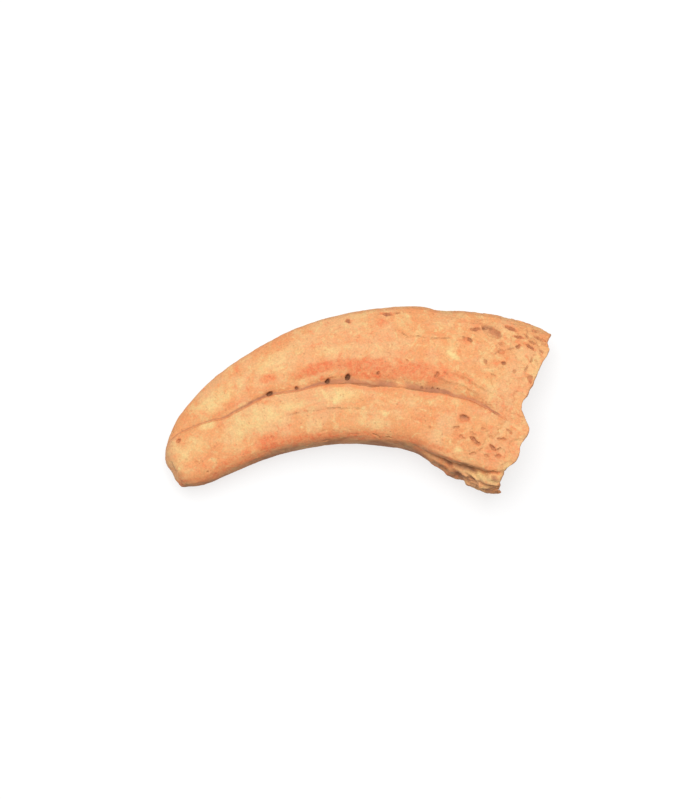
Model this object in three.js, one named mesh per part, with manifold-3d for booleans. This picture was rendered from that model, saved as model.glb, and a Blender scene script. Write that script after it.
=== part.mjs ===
// Fossil claw: the bony core of a large meat-eating dinosaur's hand claw, lying on its side.
//
// It is one natural piece of mineralised bone, so the group holds one closed mesh. The bone is
// a curved, side-to-side flattened horn. Its back is a narrow rounded ridge, its underside is
// broad and nearly flat, and a blood groove runs along each side from the root to the tip. The
// root is snapped off through spongy bone, the heel for the flexor tendon is worn down to a
// narrow strip set in under the root, and the tip is broken off blunt.
//
// Units are millimetres. The side outline is drawn in the X-Y plane, with the root at +X and the
// back at +Y, and the bone's thickness runs along Z. The finished bone is let down on its side,
// so +Z is up, and the origin is under the middle of its box, on the surface that it lies on.

import * as THREE from 'three';
import { ImprovedNoise } from 'three/addons/math/ImprovedNoise.js';
import { mergeVertices } from 'three/addons/utils/BufferGeometryUtils.js';
import Module from 'manifold-3d';

const { lerp, clamp, smoothstep, smootherstep } = THREE.MathUtils;

// ---------------------------------------------------------------- driving dimensions

// Side outline of the back, from the broken root to the blunt tip.
const BACK = [
  [64.6, 22.0], [58.2, 25.3], [50.0, 27.7], [37.0, 30.0], [26.4, 30.3], [22.6, 31.4],
  [8.0, 30.9], [-13.8, 26.7], [-35.2, 16.6], [-53.2, 2.6], [-61.2, -8.8], [-64.3, -17.0],
];

// Side outline of the underside, from the broken root to the blunt tip.
const UNDERSIDE = [
  [47.8, -31.1], [43.8, -31.3], [34.4, -26.9], [24.6, -21.2], [18.6, -17.4], [6.0, -15.2],
  [-8.5, -15.0], [-22.5, -17.5], [-38.0, -22.7], [-51.0, -28.3], [-58.9, -29.1],
];

// The broken edge of the root on the upper side, from the underside to the back.
const ROOT_BREAK = [
  [47.8, -31.1], [47.6, -27.4], [48.8, -24.2], [51.6, -21.8], [53.8, -19.2], [54.4, -15.8],
  [55.3, -13.4], [57.2, -10.6], [56.0, -7.6], [54.6, -3.6], [55.4, -0.8], [57.8, 4.0],
  [60.2, 9.0], [62.7, 13.6], [63.8, 16.3], [63.0, 18.5], [64.6, 22.0],
];
const ROOT_REACH = 0.10;   // share of the length over which the root's edge bends the surface

// The worn edge of the broken tip, from the underside to the back.
const TIP_BREAK = [[-58.9, -29.1], [-60.7, -26.8], [-61.9, -24.2], [-63.8, -21.6], [-64.3, -17.0]];
const TIP_REACH = 0.08;    // share of the length over which the tip's edge bends the surface
const TIP_ROUNDING = 0.05; // share of the length over which the blunt tip rounds off

// Half thickness at the fullest part of the section: [share of the way to the tip, mm].
const HALF_THICKNESS = [
  [0, 13.2], [0.15, 12.7], [0.35, 11.4], [0.6, 9.5], [0.8, 7.6], [0.93, 6.3], [1, 5.6],
];

// The section: how full it is below and above its fullest height. It is broad at the underside,
// which meets the sides at a blunt edge that rounds off towards the tip, and narrows to the back.
const FULLEST = 0.28;
const BROAD_SIDE = { power: 6, root: 0.7 };
const BROAD_TIP = { power: 3.2, root: 0.5 };
const ROUNDS_OFF = [0.74, 0.95]; // shares of the way to the tip between which the edge rounds off
const NARROW_SIDE = { power: 2.1, root: 0.62 };

// The blood groove: [share of the way to the tip, share of the height, depth, width up the side].
const GROOVE = [
  [0.00, 0.42, 0.3, 5], [0.09, 0.455, 0.8, 6], [0.20, 0.46, 1.4, 8], [0.34, 0.43, 1.9, 9.5],
  [0.47, 0.473, 1.9, 8.5], [0.60, 0.492, 1.5, 7], [0.68, 0.54, 0.9, 4], [0.76, 0.554, 0.8, 3],
  [0.82, 0.59, 0.7, 2.6], [0.91, 0.77, 0.6, 2.2], [0.96, 0.90, 0.5, 2], [1.00, 0.94, 0.3, 2],
];
const LIP = 0.7;           // width of the groove's steep lower lip
const GROOVE_END = 1 / 6;  // share of the height over which the groove dies out at an edge

// The heel strip, a ledge under the root: [share of the way to the tip, share of the height, its
// half thickness]. It fades into the underside over the last part of its length.
const HEEL = [
  [0, 0.108, 11.6], [0.035, 0.104, 10.4], [0.07, 0.100, 8.7], [0.15, 0.072, 7.6],
  [0.25, 0.046, 6.2], [0.32, 0.04, 4.5],
];
const HEEL_FADES = 0.2;    // share of the way to the tip from which it fades
const HEEL_STEP = 0.02;    // share of the height that its shoulder takes
const HEEL_ROUND = 4;      // how squarely its lower edge is rounded

// The bone's gentle unevenness, and its full height only where the bone is thick.
const UNEVEN = { height: 0.35, scale: 0.09, thick: 4 };

// The broken face of the root.
const HOLLOW = 2.2;        // how far it is hollowed
const BUMPS = { height: 1.5, scale: 0.28 };
const FACE_FULL = 12;      // thickness from which the face is hollowed to its full depth
const FAR_SET_IN = { depth: 4.0, share: 0.8, wander: 0.5, scale: 0.3 }; // lower side, broken shorter

const WORN_FLAT = 0.3;     // depth worn off where the bone rests
const NEARLY_DOWN = 0.9;   // how squarely that side faces down before the bone is let down

const STATIONS = 60;       // rings from root to tip
const HEEL_STEPS = 5;      // steps round one side from the underside to the top of the heel strip
const BELOW_GROOVE = 12;   // steps on from the heel strip's shoulder to the foot of the groove's lip
const ABOVE_GROOVE = 14;   // steps on from the groove to the back
const FACE_STEPS = 9;      // steps across the broken face of the root
const WELD = 1e-3;         // points nearer than this are one point

// ---------------------------------------------------------------- outline and section

function curve(points) {
  const corners = points.map(([x, y]) => new THREE.Vector3(x, y, 0));
  return new THREE.CatmullRomCurve3(corners, false, 'centripetal');
}

const back = curve(BACK);
const underside = curve(UNDERSIDE);
const rootBreak = curve(ROOT_BREAK);
const tipBreak = curve(TIP_BREAK);
const noise = new ImprovedNoise();

// Reads a column of a table of rows that start with a position, on a smooth curve through its rows.
function along(table, at, column = 1) {
  const next = Math.max(1, table.findIndex((row) => row[0] >= at));
  const [low, high] = [table[next - 1], table[next]];
  const gap = high[0] - low[0];
  const slope = (before, after) => (gap * (after[column] - before[column])) / (after[0] - before[0]);
  const start = slope(table[next - 2] ?? low, high);
  const end = slope(low, table[next + 1] ?? high);
  const x = (at - low[0]) / gap;
  const blend = x * x * (3 - 2 * x);
  return lerp(low[column], high[column], blend) + x * (1 - x) * (start * (1 - x) - end * x);
}

// A point of the side outline's surface, at share t of the way to the tip and h of the height.
function sidePoint(t, h) {
  const point = underside.getPointAt(t).lerp(back.getPointAt(t), h);
  for (const [edge, end, reach] of [[rootBreak, 0, ROOT_REACH], [tipBreak, 1, TIP_REACH]]) {
    const straight = underside.getPointAt(end).lerp(back.getPointAt(end), h);
    const fade = 1 - smootherstep(Math.abs(t - end), 0, reach);
    point.addScaledVector(edge.getPointAt(h).sub(straight), fade);
  }
  return point;
}

// Share of the full thickness at (t, h).
function fullness(t, h) {
  if (h >= FULLEST) return (1 - ((h - FULLEST) / (1 - FULLEST)) ** NARROW_SIDE.power) ** NARROW_SIDE.root;
  const rounded = smoothstep(t, ...ROUNDS_OFF);
  const power = lerp(BROAD_SIDE.power, BROAD_TIP.power, rounded);
  const root = lerp(BROAD_SIDE.root, BROAD_TIP.root, rounded);
  return (1 - ((FULLEST - h) / FULLEST) ** power) ** root;
}

// How deep the blood groove is cut `above` its line: a steep lip below it, a long slope above it.
function grooveDepth(t, above) {
  const depth = along(GROOVE, t, 2);
  const width = along(GROOVE, t, 3);
  return depth * (above < 0 ? smoothstep(above, -LIP, 0) : 1 - smoothstep(above, 0, width));
}

const HEEL_ENDS = HEEL.at(-1)[0];
const heelTop = (t) => along(HEEL, Math.min(t, HEEL_ENDS));

// The half thickness at (t, h) with the heel strip's ledge in place of the plain section's `half`.
function withHeel(t, h, half) {
  const top = heelTop(t);
  const rounded = Math.sqrt(1 - (1 - Math.min(h / top, 1)) ** HEEL_ROUND);
  const ledge = along(HEEL, Math.min(t, HEEL_ENDS), 2) * rounded;
  const share = (1 - smoothstep(t, HEEL_FADES, HEEL_ENDS)) * (1 - smoothstep(h, top, top + HEEL_STEP));
  return lerp(half, ledge, share);
}

// Half thickness of the bone at (t, h), where the section is `height` millimetres high.
function halfThickness(t, h, height) {
  const roundOff = clamp((t - 1 + TIP_ROUNDING) / TIP_ROUNDING, 0, 1);
  const full = along(HALF_THICKNESS, t) * Math.sqrt(1 - roundOff ** 2);
  const inside = Math.min(1, h / GROOVE_END, (1 - h) / GROOVE_END) * Math.sqrt(1 - roundOff);
  const groove = inside * grooveDepth(t, (h - along(GROOVE, t)) * height);
  return Math.max(withHeel(t, h, full * fullness(t, h)) - groove, 0);
}

// The heights of one side's steps: up the heel strip, on to the foot of the groove's lip, and on
// from the top of the lip to the back, where they are closer together.
function sectionHeights(t, height) {
  const heel = heelTop(t);
  const groove = along(GROOVE, t);
  const shares = (count) => Array.from({ length: count + 1 }, (_, i) => i / count);
  return [
    ...shares(HEEL_STEPS).map((share) => lerp(0, heel, share)),
    ...shares(BELOW_GROOVE).map((share) => lerp(heel + HEEL_STEP, groove - LIP / height, share)),
    ...shares(ABOVE_GROOVE).map((share) => lerp(groove, 1, (share + smoothstep(share, 0, 1)) / 2)),
  ];
}

// The ring of points at station t on one side of the bone: sign 1 for the upper, -1 for the lower.
function halfRing(t, sign) {
  const height = underside.getPointAt(t).distanceTo(back.getPointAt(t));
  return sectionHeights(t, height).map((h) => {
    const point = sidePoint(t, h);
    const half = halfThickness(t, h, height);
    const thick = clamp(half / UNEVEN.thick, 0, 1);
    const wave = noise.noise(point.x * UNEVEN.scale, point.y * UNEVEN.scale, sign * Math.PI);
    point.z = sign * (half + UNEVEN.height * wave * thick);
    if (sign < 0) {
      const wander = FAR_SET_IN.share + FAR_SET_IN.wander * noise.noise(0, point.y * FAR_SET_IN.scale, 0);
      const fade = (1 - smootherstep(t, 0, ROOT_REACH)) * Math.sin(h * Math.PI);
      point.x -= FAR_SET_IN.depth * wander * fade;
    }
    return point;
  });
}

// A row of points across the broken face, between two facing points of its edge.
function faceRow(upper, lower) {
  const full = Math.min(1, upper.distanceTo(lower) / FACE_FULL);
  return Array.from({ length: FACE_STEPS + 1 }, (_, k) => {
    const point = upper.clone().lerp(lower, k / FACE_STEPS);
    const bump = BUMPS.height * noise.noise(point.y * BUMPS.scale, point.z * BUMPS.scale, Math.E);
    const inner = k === FACE_STEPS ? 0 : Math.sin((k / FACE_STEPS) * Math.PI) * full;
    point.x -= inner * (HOLLOW - bump);
    return point;
  });
}

// ---------------------------------------------------------------- solid

// The triangles of a grid of points, as flat coordinates. `flip` turns their faces round.
function gridTriangles(rows, flip) {
  const corners = [];
  for (let i = 0; i + 1 < rows.length; i += 1) {
    for (let j = 0; j + 1 < rows[i].length; j += 1) {
      const quad = [rows[i][j], rows[i + 1][j], rows[i + 1][j + 1], rows[i][j + 1]];
      const [a, b, c, d] = flip ? quad.reverse() : quad;
      corners.push(a, b, c, a, c, d);
    }
  }
  return corners.flatMap((corner) => corner.toArray());
}

// The bone as one closed surface: an upper and a lower side, and the broken face of the root.
function clawGeometry() {
  const shares = Array.from({ length: STATIONS + 1 }, (_, i) => i / STATIONS);
  const [upper, lower] = [1, -1].map((sign) => shares.map((t) => halfRing(t, sign)));
  const face = upper[0].map((point, j) => faceRow(point, lower[0][j]));
  const sides = [...gridTriangles(upper, true), ...gridTriangles(lower, false)];
  const corners = [...sides, ...gridTriangles(face, true)];
  const geometry = new THREE.BufferGeometry();
  geometry.setAttribute('position', new THREE.Float32BufferAttribute(corners, 3));
  return mergeVertices(geometry, WELD);
}

const wasm = await Module();
wasm.setup();

// A closed geometry as a solid, without the faces that merging has collapsed.
function solidOf(geometry) {
  const index = geometry.index.array;
  const whole = [];
  for (let i = 0; i < index.length; i += 3) {
    const [a, b, c] = index.slice(i, i + 3);
    if (a !== b && b !== c && c !== a) whole.push(a, b, c);
  }
  const vertProperties = geometry.attributes.position.array;
  const triVerts = new Uint32Array(whole);
  return new wasm.Manifold(new wasm.Mesh({ numProp: 3, vertProperties, triVerts }));
}

// A solid's faces, each as a triangle.
function facesOf(solid) {
  const { vertProperties, triVerts, numProp } = solid.getMesh();
  const corners = Array.from(triVerts, (n) => new THREE.Vector3().fromArray(vertProperties, n * numProp));
  const faces = [];
  for (let i = 0; i < corners.length; i += 3) {
    faces.push(new THREE.Triangle(corners[i], corners[i + 1], corners[i + 2]));
  }
  return faces;
}

// The middle of a solid's mass.
function centreOfMass(solid) {
  const sum = new THREE.Vector3();
  let volume = 0;
  for (const { a, b, c } of facesOf(solid)) {
    const share = a.dot(new THREE.Vector3().crossVectors(b, c)) / 6;
    sum.addScaledVector(a, share / 4);
    sum.addScaledVector(b, share / 4);
    sum.addScaledVector(c, share / 4);
    volume += share;
  }
  return sum.divideScalar(volume);
}

// Turns the solid so that the side it comes to rest on faces straight down. That side is the face
// of its tightest wrapping that lies under the middle of its mass.
function letDown(solid) {
  const down = new THREE.Vector3(0, 0, -1);
  const middle = centreOfMass(solid);
  const normal = new THREE.Vector3();
  const base = facesOf(solid.hull()).find((face) => {
    face.getNormal(normal);
    const below = face.getPlane(new THREE.Plane()).projectPoint(middle, new THREE.Vector3());
    return normal.dot(down) > NEARLY_DOWN && face.containsPoint(below);
  });
  const turn = new THREE.Quaternion().setFromUnitVectors(base.getNormal(normal), down);
  return solid.transform(new THREE.Matrix4().makeRotationFromQuaternion(turn).elements);
}

// ---------------------------------------------------------------- the claw

const resting = letDown(solidOf(clawGeometry()));
const floor = resting.boundingBox().min[2] + WORN_FLAT;
const worn = resting.trimByPlane([0, 0, 1], floor);
const { min, max } = worn.boundingBox();
const placed = worn.translate([-(min[0] + max[0]) / 2, -(min[1] + max[1]) / 2, -floor]).getMesh();

const shape = new THREE.BufferGeometry();
shape.setAttribute('position', new THREE.BufferAttribute(placed.vertProperties, 3));
shape.setIndex(new THREE.BufferAttribute(placed.triVerts, 1));
shape.computeVertexNormals();

const claw = new THREE.Mesh(shape, new THREE.MeshStandardMaterial({ color: '#f2b27d', roughness: 0.8 }));
claw.name = 'claw';

const fossil = new THREE.Group();
fossil.add(claw);

export default fossil;
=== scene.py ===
# The fossil claw of a large meat-eating dinosaur: the bony core of a hand claw, lying on its side
# on a pale floor and seen from straight above. The claw is one piece of mineralised bone.

import math
import random

import bpy
import numpy as np
from mathutils import Matrix, Vector, noise
from mathutils.bvhtree import BVHTree
from mathutils.kdtree import KDTree


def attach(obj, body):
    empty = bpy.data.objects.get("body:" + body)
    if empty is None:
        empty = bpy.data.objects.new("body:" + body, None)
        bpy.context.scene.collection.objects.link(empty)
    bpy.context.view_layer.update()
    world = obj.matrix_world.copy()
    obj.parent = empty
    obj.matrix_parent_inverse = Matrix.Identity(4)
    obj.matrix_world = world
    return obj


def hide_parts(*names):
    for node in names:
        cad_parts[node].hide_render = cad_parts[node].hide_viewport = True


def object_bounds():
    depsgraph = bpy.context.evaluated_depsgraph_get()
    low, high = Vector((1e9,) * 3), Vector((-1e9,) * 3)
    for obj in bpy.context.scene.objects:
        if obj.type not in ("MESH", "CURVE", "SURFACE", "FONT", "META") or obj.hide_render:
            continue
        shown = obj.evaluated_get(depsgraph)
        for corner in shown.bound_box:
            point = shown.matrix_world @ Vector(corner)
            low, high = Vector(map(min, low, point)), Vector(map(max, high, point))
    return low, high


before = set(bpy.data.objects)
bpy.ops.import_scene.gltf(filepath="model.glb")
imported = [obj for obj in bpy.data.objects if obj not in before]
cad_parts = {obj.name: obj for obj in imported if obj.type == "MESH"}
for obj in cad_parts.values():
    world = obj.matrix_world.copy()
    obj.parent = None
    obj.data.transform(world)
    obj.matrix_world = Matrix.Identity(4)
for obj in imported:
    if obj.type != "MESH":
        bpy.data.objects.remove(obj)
cad_low, cad_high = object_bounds()
MM = 0.001

# ------------------------------------------------------------------ the camera
# A long lens straight above the claw, with the claw's back at the top of the view. The claw
# sits a little right of the view's middle.

LENS = 200.0
SENSOR = 36.0
TALL_VIEW = 0.2663        # what the view's long side takes in at the claw's middle height
AIM_LEFT = 0.0025         # how far left of the claw's middle the lens points

eye = (cad_low + cad_high) / 2
eye.x -= AIM_LEFT
eye.z += TALL_VIEW * LENS / SENSOR
bpy.ops.object.camera_add(location=eye, rotation=(0, 0, 0))
camera = bpy.context.active_object
camera.data.lens = LENS
camera.data.sensor_width = SENSOR
camera.data.clip_start = 0.05
camera.data.clip_end = 10.0
bpy.context.scene.camera = camera

# ------------------------------------------------------------------ the claw: its blank
# The bone as it grew and was broken: a curved, flattened horn with a blood groove down each side,
# a ledge of worn heel under the root, and a blunt tip. It takes the frame's shape, made smooth.

SEAM_GAP = 0.002 * MM     # points closer together than this are one point
BLANK_GRAIN = 0.32 * MM   # fineness of the smooth blank
SMOOTHING = 26            # passes that take the facets out of its sides
BREAK_FACES = 0.55        # how squarely a face points at the root before it belongs to the break
ROOT_FROM = 40.0          # where the root's broken end begins, along the claw


def only(obj):
    """Leaves one object selected and active."""
    bpy.ops.object.select_all(action="DESELECT")
    obj.select_set(True)
    bpy.context.view_layer.objects.active = obj


def worked(obj, kind, **settings):
    """Works a modifier into an object's mesh for good."""
    only(obj)
    modifier = obj.modifiers.new(kind.lower(), kind)
    for name, value in settings.items():
        setattr(modifier, name, value)
    bpy.ops.object.modifier_apply(modifier=modifier.name)


def spots_of(obj):
    """A mesh's points, in millimetres."""
    flat = np.empty(len(obj.data.vertices) * 3)
    obj.data.vertices.foreach_get("co", flat)
    return flat.reshape(-1, 3) / MM


def facing_of(obj):
    """The way a mesh faces at each of its points."""
    flat = np.empty(len(obj.data.vertices) * 3)
    obj.data.vertices.foreach_get("normal", flat)
    return flat.reshape(-1, 3)


def move_to(obj, spots):
    """Moves a mesh's points to new places, in millimetres, none below the floor."""
    placed = spots * MM
    placed[:, 2] = np.maximum(placed[:, 2], 0)
    obj.data.vertices.foreach_set("co", placed.astype(np.float32).ravel())
    obj.data.update()


def ease(values, low, high):
    """0 up to low, 1 from high, and a smooth rise between them, or a fall if high is the lower."""
    share = np.clip((values - low) / (high - low), 0, 1)
    return share * share * (3 - 2 * share)


bone = bpy.data.objects.new("fossil_claw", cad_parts["claw"].data.copy())
bpy.context.collection.objects.link(bone)
only(bone)
bpy.ops.object.mode_set(mode="EDIT")
bpy.ops.mesh.select_all(action="SELECT")
bpy.ops.mesh.remove_doubles(threshold=SEAM_GAP)
bpy.ops.object.mode_set(mode="OBJECT")
worked(bone, "REMESH", mode="VOXEL", voxel_size=BLANK_GRAIN)
sides = bone.vertex_groups.new(name="sides")
on_break = (facing_of(bone)[:, 0] > BREAK_FACES) & (spots_of(bone)[:, 0] > ROOT_FROM)
sides.add(np.flatnonzero(~on_break).tolist(), 1.0, "ADD")
worked(bone, "SMOOTH", factor=0.5, iterations=SMOOTHING, vertex_group="sides")

# ------------------------------------------------------------------ the claw: grooves, ledge and breaks
# What growth, breakage and wear did to the blank: the blood groove's sharp lower lip, the chipped
# heel ledge, the honeycomb of spongy bone in the broken root, and the worn facet at the tip.

# The middle of the claw from the tip to the root, which its grain and streaks follow.
MIDDLE_LINE = [
    (-62.6, -23.6), (-53.0, -15.5), (-42.9, -7.7), (-31.5, -1.5), (-19.4, 3.4), (-6.7, 6.5),
    (6.3, 7.6), (19.3, 7.1), (31.5, 3.5), (43.8, -0.5), (54.7, -5.1), (64.0, -9.0),
]
# The foot of the blood groove's lip, from the tip to the root.
GROOVE_LINE = [
    (-64.3, -16.5), (-61.2, -12.4), (-56.9, -10.0), (-50.6, -7.5), (-44.3, -6.0), (-40.4, -4.0),
    (-32.4, 0.4), (-28.3, 1.7), (-20.0, 3.2), (-10.8, 5.4), (-3.0, 5.7), (3.5, 4.6), (12.6, 4.6),
    (21.6, 3.0), (28.3, 2.5), (31.5, 1.3), (36.7, 0.2), (42.4, -2.3), (47.4, -5.4), (55.8, -8.8),
]
# How deep and how wide the groove's dark floor is: along the claw, depth, width.
GROOVE_FLOOR = [
    (-66, 0.40, 0.7), (-50, 0.65, 0.7), (-38, 0.80, 0.9), (-29, 0.95, 1.2), (-20, 0.85, 1.1),
    (-10, 1.15, 2.0), (-3, 1.25, 2.6), (5, 1.35, 3.4), (11, 1.25, 3.2), (13.8, 0.50, 2.2),
    (17, 1.25, 3.4), (25, 1.35, 3.4), (32, 1.10, 2.6), (38, 0.95, 2.0), (44, 0.85, 1.5),
    (47.5, 0.60, 1.2), (52, 0.12, 0.9), (66, 0.0, 0.9),
]
GROOVE_LIP = 0.35         # width of the lip itself
GROOVE_RISE = 1.2         # how hollow the floor is as it rises
# How far the lip strays from its line, in layers: distance, size, seed.
GROOVE_WANDER = [(0.26, 2.5, 4), (0.13, 0.9, 15)]
# The swells of the whole bone and the ridges along its fibres: height, size, seed.
SWELLS = [(0.24, 11.0, 1), (0.15, 4.0, 2), (0.07, 1.7, 14)]
FIBRE_RIDGES = [(0.08, 1.6, 3)]
FIBRE_STRETCH = 7         # how many times longer than wide a fibre ridge is
FLANK = (0.15, 0.5)       # how squarely a face looks up or down before it is part of a flank
TIP_SWELL = 0.35          # how much fuller the tip is
TIP_FROM, TIP_FULL = -56, -62
# The shoulder above the heel ledge, from its fading end to the root, and the broken rim below it.
HEEL_LINE = [
    (15.0, -14.2), (22.3, -17.3), (27.3, -19.6), (32.4, -21.5), (37.8, -23.0), (42.6, -24.4), (49.0, -24.8),
]
HEEL_RIM = [(33.0, -25.2), (36.0, -26.6), (39.4, -27.4), (42.6, -28.9), (46.8, -29.9)]
HEEL_RIM_CUT = (1.1, 1.0)  # depth and width of the gap at the rim
HEEL_RIDGE = 1.3          # how high the torn ridges across the heel stand, to its worn end
HEEL_WORN = 0.25          # how high they stand on its worn end
HEEL_GRAIN = [(0.5, 1.5, 8)]
VALLEY_DEPTH = 0.8        # how deep the valley under the shoulder is
BANK_HEIGHT = 0.9         # how far the ledge swells where the valley ends, by the root
# The worn facet's edge at the tip, and the cracks: a fine one below the back, a faint one below
# the groove, and a short one in the channel.
TIP_FACET = [(-58.6, -29.6), (-58.9, -26.7), (-61.2, -22.9), (-63.2, -19.0)]
BACK_CRACK = [(14.2, 23.0), (16.3, 20.9), (19.4, 21.3), (24.2, 20.4), (28.5, 20.5), (35.6, 20.4)]
BELLY_CRACK = [(-25.8, -6.4), (-20.3, -4.5), (-14.2, -3.7), (-5.8, -2.8), (4.4, -3.4)]
CHANNEL_CRACK = [(18.4, 12.0), (20.6, 10.9), (23.0, 9.9)]
CRACK_DEPTHS = [(BACK_CRACK, 0.28), (BELLY_CRACK, 0.12), (CHANNEL_CRACK, 0.25)]
CRACK_WIDTH = 0.5
CRACK_WANDER = [(0.30, 1.6, 5), (0.16, 0.7, 6)]
TIP_FACET_CUT = (0.25, 0.9)
# Low ridges in the channel by the root, which flaking has left standing.
CHANNEL_RIDGES = [
    [(27.5, 7.4), (31.5, 6.0), (34.5, 5.2), (36.8, 4.0), (40.0, 2.2)],
    [(31.5, 9.4), (34.5, 8.1), (38.0, 6.6), (40.5, 4.6), (42.5, 3.4)],
]
CHANNEL_RIDGE = (0.5, 0.9)  # their height and width
# The broken root: its dense rim, its lumps, how much it is swelled to make up for its cells, and
# the cells, coarse then fine: size, seed, where the wall ends and the floor begins, depth, how
# much the depth varies, over what distance, and that seed.
BREAK_FACING = (0.3, 0.7)  # how squarely a face points at the root, from none to all of the break
ROOT_FULL = 46.0          # where the break is complete, along the claw
RIM_WIDTH = 2.2           # thickness of the dense bone round the root
RIM_SMOOTHING = 10        # passes that wear its sharp edge
BREAK_LUMPS = [(0.7, 3.2, 13)]
BREAK_SWELL = 0.9
CELLS = [(2.3, 9, 0.06, 0.40, 0.90, 0.63, 5.0, 10), (1.1, 11, 0.08, 0.45, 0.25, 0.20, 3.0, 12)]


def smooth_line(points, steps=8):
    """A smooth curve through given points, as a close row of points."""
    rows = []
    ends = np.array([points[0], *points, points[-1]], float)
    for a, b, c, d in zip(ends, ends[1:], ends[2:], ends[3:]):
        for t in np.arange(steps) / steps:
            bend = (2 * a - 5 * b + 4 * c - d) * t**2 + (3 * b - a - 3 * c + d) * t**3
            rows.append((2 * b + (c - a) * t + bend) / 2)
    return np.array([*rows, ends[-1]])


def measured_from(points, spots):
    """How far along a line each spot lies, and how far to its left, seen from above."""
    nearest = np.full(len(spots), np.inf)
    along = np.zeros(len(spots))
    left = np.zeros(len(spots))
    start = 0.0
    line = smooth_line(points)
    for a, b in zip(line, line[1:]):
        step = b - a
        length = np.hypot(*step)
        rel = spots[:, :2] - a
        share = np.clip(rel @ step / length**2, 0, 1)
        gap = np.hypot(*(rel - share[:, None] * step).T)
        turn = np.sign(step[0] * rel[:, 1] - step[1] * rel[:, 0])
        nearer = gap < nearest
        nearest = np.where(nearer, gap, nearest)
        along = np.where(nearer, start + share * length, along)
        left = np.where(nearer, turn * gap, left)
        start += length
    return along, left


def uneven(spots, size, seed):
    """Smooth random heights, about -1 to 1, that change over a distance of `size` millimetres."""
    shift = np.array((17.3, 5.9, 11.1)) * seed
    return np.array([noise.noise(p) for p in (spots / size + shift).tolist()])


def layered(spots, layers):
    """Heights summed from layers of unevenness: height, size, seed."""
    return sum(height * uneven(spots, size, seed) for height, size, seed in layers)


def honeycomb(spots, size, seed):
    """How far each spot is inside its cell of a random honeycomb, from 0 at the walls."""
    shift = np.array((3.1, 13.7, 7.9)) * seed
    gaps = np.array([noise.voronoi(p)[0][:2] for p in (spots / size + shift).tolist()])
    return gaps[:, 1] - gaps[:, 0]


def line_cut(points, spots, depth, width):
    """The depth of a fine V-shaped cut along a line."""
    _, left = measured_from(points, spots)
    return depth * np.clip(1 - np.abs(left) / width, 0, 1)


def shaken(spots):
    """Spots moved a little about, so that a line measured from them wanders."""
    return spots + layered(spots, CRACK_WANDER)[:, None]


def above_groove(spots):
    """How far above the blood groove's wandering lip each spot is, alike on both sides."""
    return measured_from(GROOVE_LINE, spots)[1] + layered(spots * (1, 1, 0), GROOVE_WANDER)


def groove_cut(spots):
    """The depth of the blood groove's floor: deepest at its lip, rising towards the back."""
    above = above_groove(spots)
    at, depths, widths = np.array(GROOVE_FLOOR).T
    depth = np.interp(spots[:, 0], at, depths)
    width = np.interp(spots[:, 0], at, widths)
    rise = np.clip(1 - above / width, 0, 1) ** GROOVE_RISE
    return depth * np.where(above < 0, ease(above, -GROOVE_LIP, 0), rise)


def broken_share(spots, facing):
    """How much each spot belongs to the broken face of the root."""
    return ease(facing[:, 0], *BREAK_FACING) * ease(spots[:, 0], ROOT_FROM, ROOT_FULL)


blank = BVHTree.FromObject(bone, bpy.context.evaluated_depsgraph_get())
spots = spots_of(bone)
facing = facing_of(bone)
flank = ease(np.abs(facing[:, 2]), *FLANK)
upper_flank = flank * (facing[:, 2] > 0)
along, across = measured_from(MIDDLE_LINE, spots)
lengthwise = np.column_stack([along / FIBRE_STRETCH, across, spots[:, 2]])

cut = layered(spots, SWELLS) + layered(lengthwise, FIBRE_RIDGES)
cut -= TIP_SWELL * ease(spots[:, 0], TIP_FROM, TIP_FULL)
cut += flank * groove_cut(spots)
wandering = shaken(spots)
for line, depth in CRACK_DEPTHS:
    cut += upper_flank * line_cut(line, wandering, depth, CRACK_WIDTH)
for ridge in CHANNEL_RIDGES:
    cut -= upper_flank * line_cut(ridge, wandering, *CHANNEL_RIDGE)
cut += flank * line_cut(TIP_FACET, wandering, *TIP_FACET_CUT)

# the heel ledge: oblique broken ridges, and a deep valley under its shoulder
_, heel_above = measured_from(HEEL_LINE, spots)
on_heel = ease(heel_above, 0.6, -0.4) * ease(spots[:, 0], 19, 30)
oblique = np.column_stack([spots[:, 0] + 0.8 * spots[:, 1], spots[:, 1] / 3, spots[:, 2] / 3])
torn = HEEL_RIDGE * ease(spots[:, 0], 44, 35) + HEEL_WORN
cut += on_heel * (torn * uneven(oblique, 2.0, 7) + layered(spots, HEEL_GRAIN))
cut += on_heel * line_cut(HEEL_RIM, wandering, *HEEL_RIM_CUT)
valley = ease(np.abs(heel_above + 0.3), 1.0, 0.1) * ease(spots[:, 0], 18, 30) * ease(spots[:, 0], 45, 41)
bank = ease(np.abs(heel_above + 1.2), 1.8, 0.2) * ease(spots[:, 0], 41, 45)
cut += flank * (VALLEY_DEPTH * valley - BANK_HEIGHT * bank)

# the broken root: a honeycomb of spongy bone inside a thin dense rim
broken = broken_share(spots, facing)
skin = spots[(facing[:, 0] < BREAK_FACES) & (spots[:, 0] > ROOT_FROM)]
skin_tree = KDTree(len(skin))
for number, spot in enumerate(skin.tolist()):
    skin_tree.insert(spot, number)
skin_tree.balance()
in_from_skin = np.zeros(len(spots))
for number in np.flatnonzero(broken > 0):
    in_from_skin[number] = skin_tree.find(spots[number])[2]
inside = broken * ease(in_from_skin, 0.4 * RIM_WIDTH, RIM_WIDTH)
cut += broken * (layered(spots, BREAK_LUMPS) - BREAK_SWELL)
for size, seed, wall, floor, depth, change, over, change_seed in CELLS:
    deep = depth + change * uneven(spots, over, change_seed)
    cut += inside * deep * ease(honeycomb(spots, size, seed), wall, floor)
move_to(bone, spots - facing * cut[:, None])
rim = bone.vertex_groups.new(name="rim")
rim.add(np.flatnonzero((broken > 0.05) & (inside < 0.5)).tolist(), 1.0, "ADD")
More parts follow.
